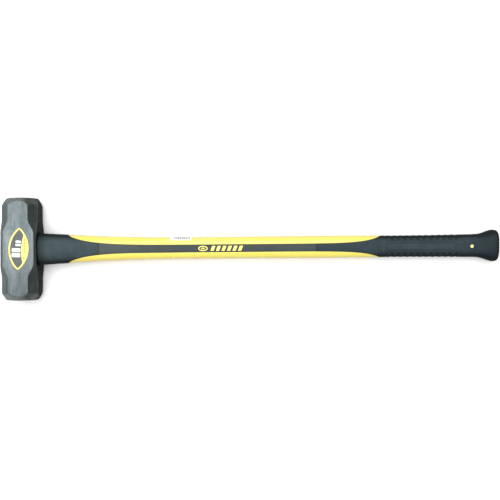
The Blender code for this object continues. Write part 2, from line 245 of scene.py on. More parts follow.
def cut(obj, tool, operation="DIFFERENCE", sharp=38.0):
    mod = obj.modifiers.new("cut", "BOOLEAN")
    mod.operation = operation
    mod.object = tool
    mod.solver = "EXACT"
    apply_modifiers(obj)
    bpy.data.objects.remove(tool, do_unlink=True)
    obj.data.shade_smooth()
    obj.data.set_sharp_from_angle(angle=math.radians(sharp))


def grid_shell(name, outer, inner, present, mat, wrap=True, close=(False, False), sharp=38.0,
               attribute=None):
    """Closed shell over a grid of loops; present[i, j] marks the cells that hold material.

    A closed end is covered across the whole loop, outside and inside.
    """
    nx, nt = len(outer), len(outer[0])
    cells = nt if wrap else nt - 1
    index, verts, faces, values = {}, [], [], []

    def vert(side, i, j):
        j %= nt
        key = (side, i, j)
        if key not in index:
            index[key] = len(verts)
            verts.append((outer if side else inner)[i][j])
            if attribute is not None:
                values.append(attribute[i][j] if side else 0.0)
        return index[key]

    def solid(i, j):
        if wrap:
            j %= cells
        elif not 0 <= j < cells:
            return False
        return 0 <= i < nx - 1 and bool(present(i, j))

    for i in range(nx - 1):
        for j in range(cells):
            if not solid(i, j):
                continue
            faces.append((vert(1, i, j), vert(1, i + 1, j), vert(1, i + 1, j + 1), vert(1, i, j + 1)))
            faces.append((vert(0, i, j + 1), vert(0, i + 1, j + 1), vert(0, i + 1, j), vert(0, i, j)))
            if not solid(i, j - 1):
                faces.append((vert(0, i, j), vert(0, i + 1, j), vert(1, i + 1, j), vert(1, i, j)))
            if not solid(i, j + 1):
                faces.append((vert(1, i, j + 1), vert(1, i + 1, j + 1),
                              vert(0, i + 1, j + 1), vert(0, i, j + 1)))
            if not solid(i - 1, j) and not (close[0] and i == 0):
                faces.append((vert(1, i, j), vert(1, i, j + 1), vert(0, i, j + 1), vert(0, i, j)))
            if not solid(i + 1, j) and not (close[1] and i == nx - 2):
                faces.append((vert(0, i + 1, j), vert(0, i + 1, j + 1),
                              vert(1, i + 1, j + 1), vert(1, i + 1, j)))
    for flag, i in ((close[0], 0), (close[1], nx - 1)):
        if flag:
            for side in (1, 0):
                faces.append([vert(side, i, j) for j in range(nt)])
    return new_object(name, verts, faces, mat, sharp,
                      {"detail": values} if attribute is not None else None)


# ------------------------------------------------------------ node materials
class Nodes:
    """Small wrapper for writing a node tree as nested calls."""

    def __init__(self, name):
        self.mat = bpy.data.materials.new(name)
        self.mat.use_nodes = True
        self.tree = self.mat.node_tree
        self.shader = self.tree.nodes["Principled BSDF"]
        self.coord = self.tree.nodes.new("ShaderNodeTexCoord").outputs["Object"]

    def link(self, source, target):
        self.tree.links.new(source, target)

    def put(self, socket, value):
        if hasattr(value, "is_output"):
            self.link(value, socket)
        else:
            socket.default_value = value

    def scaled(self, scale):
        node = self.tree.nodes.new("ShaderNodeMapping")
        self.link(self.coord, node.inputs["Vector"])
        node.inputs["Scale"].default_value = scale
        return node.outputs["Vector"]

    def noise(self, scale, detail=3.0, rough=0.55, vector=None, distortion=0.0):
        node = self.tree.nodes.new("ShaderNodeTexNoise")
        self.link(vector or self.coord, node.inputs["Vector"])
        node.inputs["Scale"].default_value = scale
        node.inputs["Detail"].default_value = detail
        node.inputs["Roughness"].default_value = rough
        node.inputs["Distortion"].default_value = distortion
        return node.outputs["Fac"]

    def voronoi(self, scale, feature="F1", vector=None):
        node = self.tree.nodes.new("ShaderNodeTexVoronoi")
        node.feature = feature
        self.link(vector or self.coord, node.inputs["Vector"])
        node.inputs["Scale"].default_value = scale
        return node.outputs["Distance"]

    def ramp(self, value, low, high, out_low=0.0, out_high=1.0):
        node = self.tree.nodes.new("ShaderNodeMapRange")
        node.interpolation_type = "SMOOTHSTEP"
        self.put(node.inputs["Value"], value)
        for key, number in (("From Min", low), ("From Max", high),
                            ("To Min", out_low), ("To Max", out_high)):
            node.inputs[key].default_value = number
        return node.outputs["Result"]

    def math(self, operation, a, b=0.0, clamp=False):
        node = self.tree.nodes.new("ShaderNodeMath")
        node.operation = operation
        node.use_clamp = clamp
        self.put(node.inputs[0], a)
        self.put(node.inputs[1], b)
        return node.outputs[0]

    def mix(self, factor, a, b, blend="MIX"):
        node = self.tree.nodes.new("ShaderNodeMix")
        node.data_type = "RGBA"
        node.blend_type = blend
        self.put(node.inputs[0], factor)
        for socket, value in ((node.inputs[6], a), (node.inputs[7], b)):
            self.put(socket, (*value, 1.0) if isinstance(value, tuple) else value)
        return node.outputs[2]

    def attribute(self, name):
        node = self.tree.nodes.new("ShaderNodeAttribute")
        node.attribute_name = name
        return node.outputs["Fac"]

    def slant(self):
        """0 where a surface lies level, 1 where it stands upright."""
        node = self.tree.nodes.new("ShaderNodeNewGeometry")
        split = self.tree.nodes.new("ShaderNodeSeparateXYZ")
        self.link(node.outputs["Normal"], split.inputs[0])
        return self.math("SUBTRACT", 1.0, self.math("ABSOLUTE", split.outputs[2]))

    def axis(self, which):
        node = self.tree.nodes.new("ShaderNodeSeparateXYZ")
        self.link(self.coord, node.inputs[0])
        return node.outputs[which]

    def bump(self, height, distance, strength=1.0, normal=None):
        node = self.tree.nodes.new("ShaderNodeBump")
        node.inputs["Strength"].default_value = strength
        node.inputs["Distance"].default_value = distance
        self.link(height, node.inputs["Height"])
        if normal is not None:
            self.link(normal, node.inputs["Normal"])
        return node.outputs["Normal"]

    def set(self, **values):
        for key, value in values.items():
            self.put(self.shader.inputs[key.replace("_", " ")],
                     (*value, 1.0) if isinstance(value, tuple) and len(value) == 3 else value)
        return self.mat


def forged_steel():
    n = Nodes("forged_steel")
    broad = n.noise(38.0, 3.0, 0.6)
    drawn = n.noise(150.0, 4.0, 0.62, n.scaled((1.0, 0.16, 1.0)))
    cloud = n.noise(170.0, 4.0, 0.65)
    grain = n.noise(1300.0, 4.0, 0.7)
    specks = n.voronoi(900.0)
    base = n.mix(n.ramp(broad, 0.30, 0.72), (0.108, 0.134, 0.140), (0.146, 0.172, 0.178))
    base = n.mix(n.math("MULTIPLY", n.ramp(drawn, 0.42, 0.70), 0.60), base, (0.200, 0.230, 0.236))
    base = n.mix(n.math("MULTIPLY", n.ramp(cloud, 0.52, 0.75), 0.35), base, (0.100, 0.118, 0.118))
    base = n.mix(n.math("MULTIPLY", n.ramp(specks, 0.16, 0.05), 0.40), base, (0.060, 0.064, 0.062))
    # turned ends: brighter under thin lacquer, browned in patches
    end = n.attribute("turned")
    stain = n.math("MULTIPLY", n.ramp(cloud, 0.40, 0.66, 0.25, 1.0), n.ramp(n.axis(0), -0.009, 0.019, 0.05, 1.0))
    bright = n.mix(n.ramp(cloud, 0.35, 0.70), (0.150, 0.172, 0.172), (0.240, 0.265, 0.265))
    bright = n.mix(n.ramp(n.axis(1), 0.02, -0.02, 0.0, 0.50), bright, (0.300, 0.325, 0.320))
    bright = n.mix(n.math("MULTIPLY", stain, 0.88), bright, (0.075, 0.062, 0.046))
    base = n.mix(n.math("MULTIPLY", end, 0.85), base, bright)
    # painted shade: the level faces are darkened toward the -Y end, a little toward the +Y end and toward +X,
    # where less light falls on them
    level = n.ramp(n.slant(), 0.16, 0.03)
    falloff_shade = n.math("ADD", n.ramp(n.axis(1), -0.006, -0.070, 0.04, 0.36),
                   n.ramp(n.axis(1), 0.020, 0.056, 0.0, 0.12))
    falloff_shade = n.math("ADD", falloff_shade, n.ramp(n.axis(0), -0.012, 0.010, 0.0, 0.16))
    base = n.mix(n.math("MULTIPLY", level, falloff_shade), base, (0.020, 0.026, 0.026))
    # painted shade: the chamfers and sides of the +X half, away from the light, are darkened to near black, less
    # on the turned ends
    side = n.math("ADD", n.ramp(n.slant(), 0.06, 0.22, 0.0, 0.66),
                  n.ramp(n.slant(), 0.50, 0.85, 0.0, 0.31))
    side = n.math("MULTIPLY", side, n.ramp(n.axis(0), 0.006, 0.017))
    side = n.math("MULTIPLY", side, n.ramp(end, 0.0, 1.0, 1.0, 0.72))
    base = n.mix(side, base, (0.009, 0.0125, 0.010))
    # rubbed edges
    edge = n.math("MULTIPLY", n.attribute("detail"), n.ramp(cloud, 0.40, 0.68, 0.10, 1.0))
    base = n.mix(n.math("MULTIPLY", edge, 0.40), base, (0.32, 0.34, 0.34))
    rough = n.math("ADD", n.ramp(cloud, 0.25, 0.80, 0.40, 0.52),
                   n.ramp(grain, 0.3, 0.7, -0.04, 0.05))
    height = n.math("ADD", n.math("MULTIPLY", cloud, 0.75), n.math("MULTIPLY", grain, 0.28))
    normal = n.bump(height, 0.00034, 0.85)
    normal = n.bump(n.ramp(specks, 0.17, 0.03), -0.00010, 0.6, normal)
    n.shader.inputs["Specular Tint"].default_value = (0.24, 0.27, 0.25, 1.0)
    return n.set(Base_Color=base, Metallic=0.80, Roughness=rough, Normal=normal)


def black_rubber(name, low, high, rough_low, rough_high, grain_height, side_shade=0.5, gloss=0.35,
                 fades=(), flank=(0.04, 0.50)):
    """Black moulding; its upright sides are darkened with painted shade, leaving the front and back greyer."""
    n = Nodes(name)
    cloud = n.noise(55.0, 4.0, 0.6)
    grain = n.noise(2600.0, 3.0, 0.7)
    pebbles = n.voronoi(1500.0)
    dust = n.noise(420.0, 5.0, 0.7)
    base = n.mix(n.ramp(cloud, 0.30, 0.72), low, high)
    # painted shade: the upright sides, by their slant, are darkened toward near black
    side = n.ramp(n.slant(), *flank)
    base = n.mix(n.math("MULTIPLY", side, side_shade), base, (0.0050, 0.0072, 0.0076))
    for start, end, share in fades:     # darker stretches along the handle
        base = n.mix(n.ramp(n.axis(0), start, end, 0.0, share), base, (0.004, 0.006, 0.007))
    base = n.mix(n.math("MULTIPLY", n.ramp(dust, 0.58, 0.80), 0.20), base, (0.050, 0.060, 0.062))
    mark = n.attribute("detail")        # above 0 painted highlight in pale grey, below 0 painted shade, deep and dark
    base = n.mix(n.math("MAXIMUM", n.math("MULTIPLY", mark, -1.0), 0.0), base, (0.0042, 0.006, 0.0066))
    base = n.mix(n.math("MAXIMUM", mark, 0.0), base, (0.062, 0.076, 0.082))
    rough = n.math("ADD", n.ramp(cloud, 0.25, 0.75, rough_low, rough_high),
                   n.ramp(grain, 0.3, 0.7, -0.04, 0.04))
    if side_shade > 0.0:
        rough = n.math("ADD", rough, n.math("MULTIPLY", side, 0.22))
    height = n.math("ADD", n.math("MULTIPLY", grain, 0.5), n.math("MULTIPLY", pebbles, 0.6))
    normal = n.bump(height, grain_height, 0.8)
    return n.set(Base_Color=base, Roughness=rough, Normal=normal, Specular_IOR_Level=gloss)


def yellow_plastic():
    n = Nodes("yellow_plastic")
    flow = n.noise(9.0, 4.0, 0.55, n.scaled((2.2, 26.0, 26.0)))
    cloud = n.noise(70.0, 3.0, 0.5)
    peel = n.noise(520.0, 2.0, 0.5)
    scuff = n.noise(60.0, 6.0, 0.75, n.scaled((3.0, 22.0, 22.0)), 0.6)
    base = n.mix(n.ramp(flow, 0.32, 0.70), (0.722, 0.602, 0.106), (0.750, 0.662, 0.143))
    base = n.mix(n.math("MULTIPLY", n.ramp(cloud, 0.40, 0.75), 0.25), base, (0.708, 0.568, 0.090))
    # painted shade: the yellow turns deep amber on its upright sides
    base = n.mix(n.math("MULTIPLY", n.ramp(n.slant(), 0.13, 0.84), 0.94), base, (0.46, 0.345, 0.060))
    # painted shade: brown-dark where the bands' edges round down to the strips, from the detail mark
    base = n.mix(n.math("MULTIPLY", n.attribute("detail"), 0.75), base, (0.22, 0.160, 0.030))
    rough = n.math("ADD", n.ramp(cloud, 0.25, 0.75, 0.20, 0.29),
                   n.math("MULTIPLY", n.ramp(scuff, 0.58, 0.74), 0.16))
    normal = n.bump(peel, 0.00006, 0.5)
    normal = n.bump(flow, 0.00012, 0.4, normal)
    return n.set(Base_Color=base, Roughness=rough, Normal=normal, IOR=1.5)


def plain_film(name, low, high, rough=0.32, grain=0.00002):
    n = Nodes(name)
    mottled = n.noise(260.0, 4.0, 0.6)
    fibre = n.noise(2400.0, 3.0, 0.6)
    base = n.mix(n.ramp(mottled, 0.32, 0.70), low, high)
    return n.set(Base_Color=base, Roughness=n.ramp(mottled, 0.2, 0.8, rough - 0.05, rough + 0.07),
                 Normal=n.bump(fibre, grain, 0.6))


def epoxy_resin():
    n = Nodes("epoxy_resin")
    swirl = n.noise(120.0, 4.0, 0.6, distortion=1.2)
    bubbles = n.voronoi(420.0)
    base = n.mix(n.ramp(swirl, 0.3, 0.7), (0.010, 0.011, 0.012), (0.026, 0.026, 0.024))
    base = n.mix(n.math("MULTIPLY", n.ramp(bubbles, 0.14, 0.04), 0.5), base, (0.055, 0.052, 0.045))
    return n.set(Base_Color=base, Roughness=n.ramp(swirl, 0.25, 0.75, 0.22, 0.38),
                 Normal=n.bump(n.ramp(bubbles, 0.15, 0.02), -0.0002, 0.7))


def glass_fibre():
    n = Nodes("glass_fibre_rod")
    strands = n.noise(60.0, 5.0, 0.65, n.scaled((1.2, 40.0, 40.0)))
    base = n.mix(n.ramp(strands, 0.3, 0.7), (0.42, 0.40, 0.24), (0.66, 0.63, 0.44))
    return n.set(Base_Color=base, Roughness=n.ramp(strands, 0.3, 0.7, 0.34, 0.52),
                 Normal=n.bump(strands, 0.0001, 0.5))


STEEL = forged_steel()
# the collar's fade darkens it next to the head: painted shade where the head shadows it
COLLAR_RUBBER = black_rubber("collar_rubber", (0.027, 0.042, 0.046), (0.038, 0.057, 0.062),
                             0.50, 0.62, 0.00007, 0.92, 0.12, ((0.050, 0.034, 0.62),), (0.03, 0.42))
GRIP_RUBBER = black_rubber("grip_rubber", (0.0180, 0.0300, 0.0370), (0.0265, 0.0420, 0.0505),
                           0.52, 0.64, 0.00009, 0.92, 0.11, ((0.775, 0.812, 0.50),), (0.03, 0.34))
STRIP_PLASTIC = black_rubber("strip_plastic", (0.040, 0.053, 0.053), (0.053, 0.068, 0.068),
                             0.44, 0.54, 0.00003, 0.0, 0.18, ((0.160, 0.262, 0.30),))
YELLOW = yellow_plastic()
EPOXY = epoxy_resin()
GLASS = glass_fibre()
PRINT_YELLOW = plain_film("print_yellow", (0.84, 0.71, 0.13), (0.89, 0.77, 0.18))
# painted light: paler yellow for the bosses' faces in the grip's windows
LIT_BOSS_YELLOW = plain_film("lit_boss_yellow", (0.86, 0.83, 0.27), (0.92, 0.90, 0.36))
FILM_GREY = plain_film("film_grey", (0.034, 0.042, 0.046), (0.050, 0.059, 0.063))
FILM_BROWN = plain_film("film_brown", (0.30, 0.17, 0.030), (0.40, 0.24, 0.045))
FILM_DARK = plain_film("film_dark", (0.030, 0.030, 0.022), (0.050, 0.046, 0.030))
PRINT_WHITE = plain_film("print_white", (0.80, 0.80, 0.79), (0.88, 0.88, 0.87))
PAPER = plain_film("label_paper", (0.78, 0.78, 0.76), (0.86, 0.86, 0.84), 0.62, 0.00004)
PRINT_BLACK = plain_film("print_black", (0.020, 0.020, 0.022), (0.045, 0.045, 0.048), 0.55)


# ------------------------------------------------------------------------- head
def rounded_octagon(half, leg, radius):
    """Section of the head in X and Z: an octagon with rounded corners.

    Returns the points and, for each, how close it is to a rounded corner.
    """
    corners = []
    for k in range(4):
        turn = k * math.pi / 2
        for px, pz in ((half - leg, half), (half, half - leg)):
            c, s = math.cos(turn), math.sin(turn)
            corners.append((px * c + pz * s, -px * s + pz * c))
    pts, wear = [], []
    n = len(corners)
    for k in range(n):
        p, a, b = Vector(corners[k]), Vector(corners[k - 1]), Vector(corners[(k + 1) % n])
        to_a, to_b = (a - p), (b - p)
        reach = min(radius * math.tan(math.radians(22.5)) * 1.0, to_a.length * 0.49, to_b.length * 0.49)
        start, stop = p + to_a.normalized() * reach, p + to_b.normalized() * reach
        for t in spaced(0.0, 1.0, 6):
            q = start * (1 - t) ** 2 + p * 2 * t * (1 - t) + stop * t * t
            pts.append((q.x, q.y))
            wear.append(math.sin(math.pi * t))
        nxt = Vector(corners[(k + 1) % n])
        after = Vector(corners[(k + 2) % n])
        back = p - nxt
        reach2 = min(radius * math.tan(math.radians(22.5)), back.length * 0.49,
                     (after - nxt).length * 0.49)
        target = nxt + back.normalized() * reach2
        inner = 10 if k % 2 == 1 else 5
        for m in range(1, inner):
            q = stop.lerp(target, m / inner)
            pts.append((q.x, q.y))
            wear.append(0.0)
    return pts, wear


def head_rows():
    """Stations from the waist to the middle of a striking face.

    Each row is (y, radius of the turned end there, wear of the rim).
    """
    rim = HEAD_LENGTH / 2 - FACE_CROWN
    start = rim - (36.6 - FACE_RADIUS) / FACE_TAPER

    def cone(y):
        return FACE_RADIUS + (rim - y) * FACE_TAPER

    rows = [(y, 99.0, 0.0) for y in spaced(0.0, 24.0, 8)]
    rows += [(y, 99.0, 0.0) for y in spaced(25.2, 56.0, 22)]
    rows += [(y, 99.0, 0.0) for y in spaced(58.0, start - 1.5, 6)]
    rows += [(y, cone(y), 0.0) for y in spaced(start, rim - 1.5, 34)]
    a, p = Vector((rim - 1.5, cone(rim - 1.5))), Vector((rim, FACE_RADIUS))
    b = Vector((rim + 0.09, FACE_RADIUS - 1.7))
    for t in spaced(0.0, 1.0, 7)[1:]:
        q = a * (1 - t) ** 2 + p * 2 * t * (1 - t) + b * t * t
        rows.append((q.x, q.y, math.sin(math.pi * t)))
    for t in (0.08, 0.2, 0.35, 0.5, 0.65, 0.8, 0.92):
        rows.append((lerp(b.x, HEAD_LENGTH / 2, 1 - (1 - t) ** 2), b.y * (1 - t), 0.0))
    return rows


def soft_min(a, b, k):
    h = max(0.0, k - abs(a - b)) / k
    return min(a, b) - h * h * k / 4.0, h


def build_head():
    loops, wears, cones = [], [], []
    rows = head_rows()
    full = [(-y, r, w) for y, r, w in reversed(rows[1:])] + rows
    for y, radius_here, row_wear in full:
        leg = lerp(WAIST_CHAMFER, END_CHAMFER,
                   smooth((abs(y) - RUNOUT_START) / (RUNOUT_END - RUNOUT_START)))
        waist = 1 - smooth((abs(y) - 20.0) / 24.0)
        pts, wear = rounded_octagon(HEAD_WIDTH / 2, leg, lerp(3.2, 9.0, waist))
        loop, row, lathe = [], [], []
        for (px, pz), w in zip(pts, wear):
            reach = math.hypot(px, pz)
            size, meet = soft_min(reach, radius_here, 1.1)
            px, pz = px * size / reach, pz * size / reach
            on_cone = smooth((reach - radius_here) / 0.8)
            v = Vector((px, y, pz))
            swell = noise.noise(v / 21.0) * 0.10 + noise.noise(v / 7.5 + Vector((9, 3, 5))) * 0.045
            out = Vector((px, 0.0, pz)) / max(size, 0.001)
            v += out * (swell - 0.10) * (1.0 - 0.8 * on_cone)
            if on_cone > 0.5 and radius_here < 90.0:
                # fine rings left by the turning tool
                v += out * 0.03 * math.sin(y * 2.4)
            loop.append(tuple(v))
            row.append(min(1.0, max(w * (0.35 + 0.4 * (1 - waist)) * (1.0 - on_cone),
                                    0.5 * meet * (abs(y) > 60.0), row_wear)))
            lathe.append(on_cone if radius_here < 90.0 else 0.0)
        loops.append(loop)
        wears.append(row)
        cones.append(lathe)
    verts = [p for loop in loops for p in loop]
    values = [w for row in wears for w in row]
    turned_part = [c for lathe in cones for c in lathe]
    n = len(loops[0])
    faces = []
    for i in range(len(loops) - 1):
        for j in range(n):
            k = (j + 1) % n
            faces.append((i * n + j, (i + 1) * n + j, (i + 1) * n + k, i * n + k))
    for i, y in ((0, -HEAD_LENGTH / 2), (len(loops) - 1, HEAD_LENGTH / 2)):
        centre = len(verts)
        verts.append((0.0, y, 0.0))
        values.append(0.0)
        turned_part.append(1.0)
        for j in range(n):
            faces.append((i * n + j, i * n + (j + 1) % n, centre))
    head = new_object("head_forging", verts, faces, STEEL, 60.0,
                      {"detail": values, "turned": turned_part})

    count = 72
    rings = []
    w = HEAD_WIDTH / 2
    for x, flare in ((-w - 3.0, 4.4), (-w + 0.1, 1.3), (-w + 0.5, 0.55), (-w + 1.3, 0.0),
                     (w - 1.3, 0.0), (w + 3.0, 4.2)):
        t = (w - x) / (2 * w)
        a, b = lerp(EYE_Y_IN, EYE_Y_OUT, t) + flare, lerp(EYE_Z_IN, EYE_Z_OUT, t) + flare
        rings.append([(x, *oval(a, b, 2 * math.pi * k / count)) for k in range(count)])
    verts = [p for ring in rings for p in ring]
    faces = [(i * count + k, (i + 1) * count + k, (i + 1) * count + (k + 1) % count,
              i * count + (k + 1) % count) for i in range(len(rings) - 1) for k in range(count)]
    faces += [list(range(count)), list(range((len(rings) - 1) * count, len(rings) * count))]
    cut(head, new_object("eye_tool", verts, faces, STEEL), sharp=60.0)
    return keep(head, "forged_steel", "hammer_head")


def build_epoxy():
    """Resin in the eye: a cup with a dished, slightly climbing surface."""
    w = HEAD_WIDTH / 2
    count = 72

    def ring(x, inset, eye=True):
        t = (w - x) / (2 * w)
        if eye:
            a, b = lerp(EYE_Y_IN, EYE_Y_OUT, t) - inset, lerp(EYE_Z_IN, EYE_Z_OUT, t) - inset
        else:
            a, b = EYE_HANDLE_Y + inset, EYE_HANDLE_Z + inset
            return [(x, *turned(*oval(a, b, 2 * math.pi * k / count), HANDLE_TURN * 0.4))
                    for k in range(count)]
        return [(x, *oval(a, b, 2 * math.pi * k / count)) for k in range(count)]

    rings = [ring(w - 0.4, 0.10, False), ring(w - 0.4, 0.10), ring(0.0, 0.10),
             ring(-w + 1.6, 0.10), ring(-w + 1.15, 0.16), ring(-w + 1.12, 0.5),
             ring(-w + 1.55, 1.3), ring(-w + 1.9, 2.6)]
    flat = rings[-1]
    for f, x in ((0.78, -w + 2.1), (0.55, -w + 2.2), (0.3, -w + 2.25)):
        rings.append([(x, y * f, z * f) for _, y, z in flat])
    verts = [p for r in rings for p in r]
    faces = [(i * count + k, (i + 1) * count + k, (i + 1) * count + (k + 1) % count,
              i * count + (k + 1) % count) for i in range(len(rings) - 1) for k in range(count)]
    centre = len(verts)
    verts.append((-w + 2.27, 0.0, 0.0))
    last = (len(rings) - 1) * count
    faces += [(last + k, last + (k + 1) % count, centre) for k in range(count)]
    base = len(verts)
    deep = ring(-w + 5.2, 0.10, False)
    verts += deep
    faces += [(k, base + k, base + (k + 1) % count, (k + 1) % count) for k in range(count)]
    faces.append([base + k for k in range(count)])
    return keep(new_object("eye_potting", verts, faces, EPOXY, 45.0), "epoxy", "eye_epoxy")


# ----------------------------------------------------------------------- handle
BAND_EDGE = ((0.0, 0.62), (0.10, 0.36), (0.26, 0.17), (0.50, 0.06), (0.85, 0.01), (1.4, 0.0))
FILL_EDGE = ((0.0, 0.62), (0.10, 0.38), (0.26, 0.18), (0.50, 0.06), (0.95, 0.0))


def band_samples(x, edge):
    """Angles across one yellow band and the rounding inset at each."""
    a, b = half_axes(x)
    speed = arc_speed(a, b, edge)
    half = edge * speed
    squeeze = min(1.0, half / 3.0)
    left = [(-edge + e * squeeze / speed, i * squeeze) for e, i in BAND_EDGE]
    right = [(-t, i) for t, i in reversed(left)]
    first, last = left[-1][0], right[0][0]
    middle = [(lerp(first, last, k / 14), 0.0) for k in range(1, 14)]
    return left + middle + right


def build_jacket():
    xs = ([JACKET_START, 31.5, 40.0, 50.0, 60.0, 70.0, BAND_START - 0.12]
          + [BAND_START + 25.0 * (k / 26) ** 1.8 for k in range(27)]
          + spaced(104.0, 200.0, 32) + spaced(206.0, 560.0, 60)
          + spaced(563.0, BAND_END - 25.0, 14)[:-1]
          + [BAND_END - 25.0 * (1 - k / 26) ** 1.8 for k in range(27)]
          + [BAND_END + 0.12, 660.0, 700.0, 753.0, 800.0, JACKET_END])
    floor_cells = 10
    loops, marks = [], []
    for x in xs:
        raised = BAND_START <= x <= BAND_END
        top, low = half_axes(x), groove_axes(x)
        edge = band_angle(x)
        loop, mark = [], []
        step = 0.10 / arc_speed(*top, edge)
        for base in (0.0, math.pi):
            for angle, inset in band_samples(x, edge):
                lift = -inset
                seam = 0.0
                if raised and abs(angle) < 1e-6:
                    lift, seam = 0.035, 1.0          # parting line of the mould
                y, z = oval(*(top if raised else low), base + angle, lift if raised else 0.0)
                loop.append((x, y, z))
                # the detail mark paints shade on the bands' rounded edges and on the groove floor
                mark.append(min(1.0, inset / 0.5) if raised else 0.0)
            for k in range(floor_cells + 1):
                angle = base + lerp(edge + step, math.pi - edge - step, k / floor_cells)
                loop.append((x, *oval(*low, angle)))
                mark.append(1.0)
        loops.append(loop)
        marks.append(mark)
    nt = len(loops[0])
    verts = [p for loop in loops for p in loop]
    values = [m for mark in marks for m in mark]
    faces = []
    for i in range(len(loops) - 1):
        for j in range(nt):
            k = (j + 1) % nt
            faces.append((i * nt + j, (i + 1) * nt + j, (i + 1) * nt + k, i * nt + k))
    bore = []
    r = CORE_RADIUS + 0.1
    start = -(len(band_samples(300.0, band_angle(300.0))) - 1) / 2
    for x in (xs[0], xs[-1]):
        bore.append(len(verts))
        for k in range(nt):
            t = 2 * math.pi * (k + start) / nt
            verts.append((x, r * math.cos(t), r * math.sin(t)))
            values.append(1.0)
    last = (len(loops) - 1) * nt
    for j in range(nt):
        k = (j + 1) % nt
        faces.append((j, k, bore[0] + k, bore[0] + j))
        faces.append((last + k, last + j, bore[1] + j, bore[1] + k))
        faces.append((bore[0] + j, bore[0] + k, bore[1] + k, bore[1] + j))
    jacket = new_object("jacket_moulding", verts, faces, YELLOW, 50.0, {"detail": values})
    # round-topped bosses that show through the grip's windows
    _, b = half_axes(DOT_X)
    for side in (1, -1):
        rows = ((CORE_RADIUS + 1.3, 1.0), (b - 0.75, 1.0), (b - 0.42, 0.93), (b - 0.22, 0.78),
                (b - 0.10, 0.5), (b - 0.06, 0.2))
        count = 32
        pts, quads = [], []
        for z, f in rows:
            pts += [(DOT_X + DOT_RADIUS * f * math.cos(2 * math.pi * k / count),
                     DOT_RADIUS * f * math.sin(2 * math.pi * k / count), z * side)
                    for k in range(count)]
        for i in range(len(rows) - 1):
            quads += [(i * count + k, (i + 1) * count + k, (i + 1) * count + (k + 1) % count,
                       i * count + (k + 1) % count) for k in range(count)]
        quads += [list(range(count)), list(range((len(rows) - 1) * count, len(rows) * count))]
        cut(jacket, new_object("boss_tool", pts, quads, YELLOW), "UNION", 50.0)
    # painted light: the bosses' faces take a paler, lit copy of the yellow against the shade of their windows
    jacket.data.materials.append(LIT_BOSS_YELLOW)
    for face in jacket.data.polygons:
        reach = math.hypot(face.center.y, face.center.z - AXIS_Z * MM)
        if abs(face.center.x - DOT_X * MM) < DOT_RADIUS * MM and reach > (b - 0.9) * MM:
            face.material_index = 1
    return keep(jacket, "yellow_plastic", "handle_jacket")


def fill_samples(x, edge, cells, sink=0.0, full=False):
    """Angles across one stripe, from its edge, with the rounding inset at each."""
    a, b = half_axes(x)
    speed = arc_speed(a, b, edge)
    fit = FIT / speed
    begin = [(edge + fit + e / speed, i + sink) for e, i in FILL_EDGE]
    finish = [(math.pi - t, i) for t, i in reversed(begin)]
    first, last = begin[-1][0], finish[0][0]
    middle = [(lerp(first, last, k / cells), sink) for k in range(1, cells)]
    return begin + middle + finish


def end_inset(x, ends):
    """Rounding of a piece's end faces: inset at x near any of the ends."""
    d = min(abs(x - e) for e in ends) if ends else 9.0
    for reach, inset in ((0.02, 0.34), (0.12, 0.18), (0.28, 0.07), (0.55, 0.01)):
        if d <= reach:
            return inset
    return 0.0


def with_ends(xs, low=True, high=True):
    """Adds the close stations that round a piece's ends."""
    extra = (0.10, 0.26, 0.53)
    out = list(xs)
    if low:
        out = [out[0]] + [out[0] + e for e in extra] + out[1:]
    if high:
        out = out[:-1] + [out[-1] - e for e in reversed(extra)] + [out[-1]]
    return out


def skin_axes(x):
    a, b = groove_axes(x)
    return a + 0.1, b + 0.1


STRIPE_CELLS = 30
SIDE_CELLS = 26


def full_loop(x, ends, shape=None, relief_shading=None):
    """Outer and inner loops of a piece that is a ring in places and tongues in others."""
    edge = band_angle(x)
    open_band = BAND_START <= x <= BAND_END
    a, b = half_axes(x)
    outer, mark = [], []
    stripe = fill_samples(x, edge, STRIPE_CELLS)
    e0 = stripe[0][0]
    tail = end_inset(x, ends)
    for base in (0.0, math.pi):
        for k in range(SIDE_CELLS):
            angle = base + lerp(-e0, e0, k / SIDE_CELLS)
            rounding = stripe[0][1] if (k == 0 and open_band) else 0.0
            outer.append((angle, -max(rounding, tail)))
        for angle, inset in stripe[:-1]:
            outer.append((base + angle, -max(inset if open_band else 0.0, tail)))
    loop_out, loop_in = [], []
    for angle, lift in outer:
        extra = shape(x, angle) if shape else 0.0
        loop_out.append((x, *oval(a, b, angle, lift + extra)))
        loop_in.append((x, *oval(*skin_axes(x), angle)))
        mark.append(relief_shading(x, angle) if relief_shading else 0.0)
    return loop_out, loop_in, mark


def in_stripe(j):
    per = SIDE_CELLS + len(FILL_EDGE) * 2 + STRIPE_CELLS - 1 - 1
    return (j % per) >= SIDE_CELLS


def build_collar():
    ring_end = BAND_START - 0.12 - FIT
    ring = with_ends(spaced(HEAD_WIDTH / 2 + 0.12, ring_end, 26), True, False)
    tongue = with_ends([BAND_START + 30.0 * (k / 26) ** 1.8 for k in range(27)]
                       + spaced(109.0, COLLAR_TONGUE_END - 0.35, 12), False, True)
    xs = ring + tongue
    ends = (xs[0], xs[-1])

    def shape(x, angle):
        # a low bead where the rubber meets the head
        return 0.55 * math.exp(-((x - 33.4) / 1.5) ** 2) - 0.25 * math.exp(-((x - 37.2) / 1.3) ** 2)

    pairs = [full_loop(x, ends, shape) for x in xs]
    obj = grid_shell("collar_moulding", [p[0] for p in pairs], [p[1] for p in pairs],
                     lambda i, j: xs[i + 1] <= ring_end + 1e-6 or in_stripe(j), COLLAR_RUBBER,
                     sharp=50.0)
    return keep(obj, "black_rubber", "overstrike_collar")


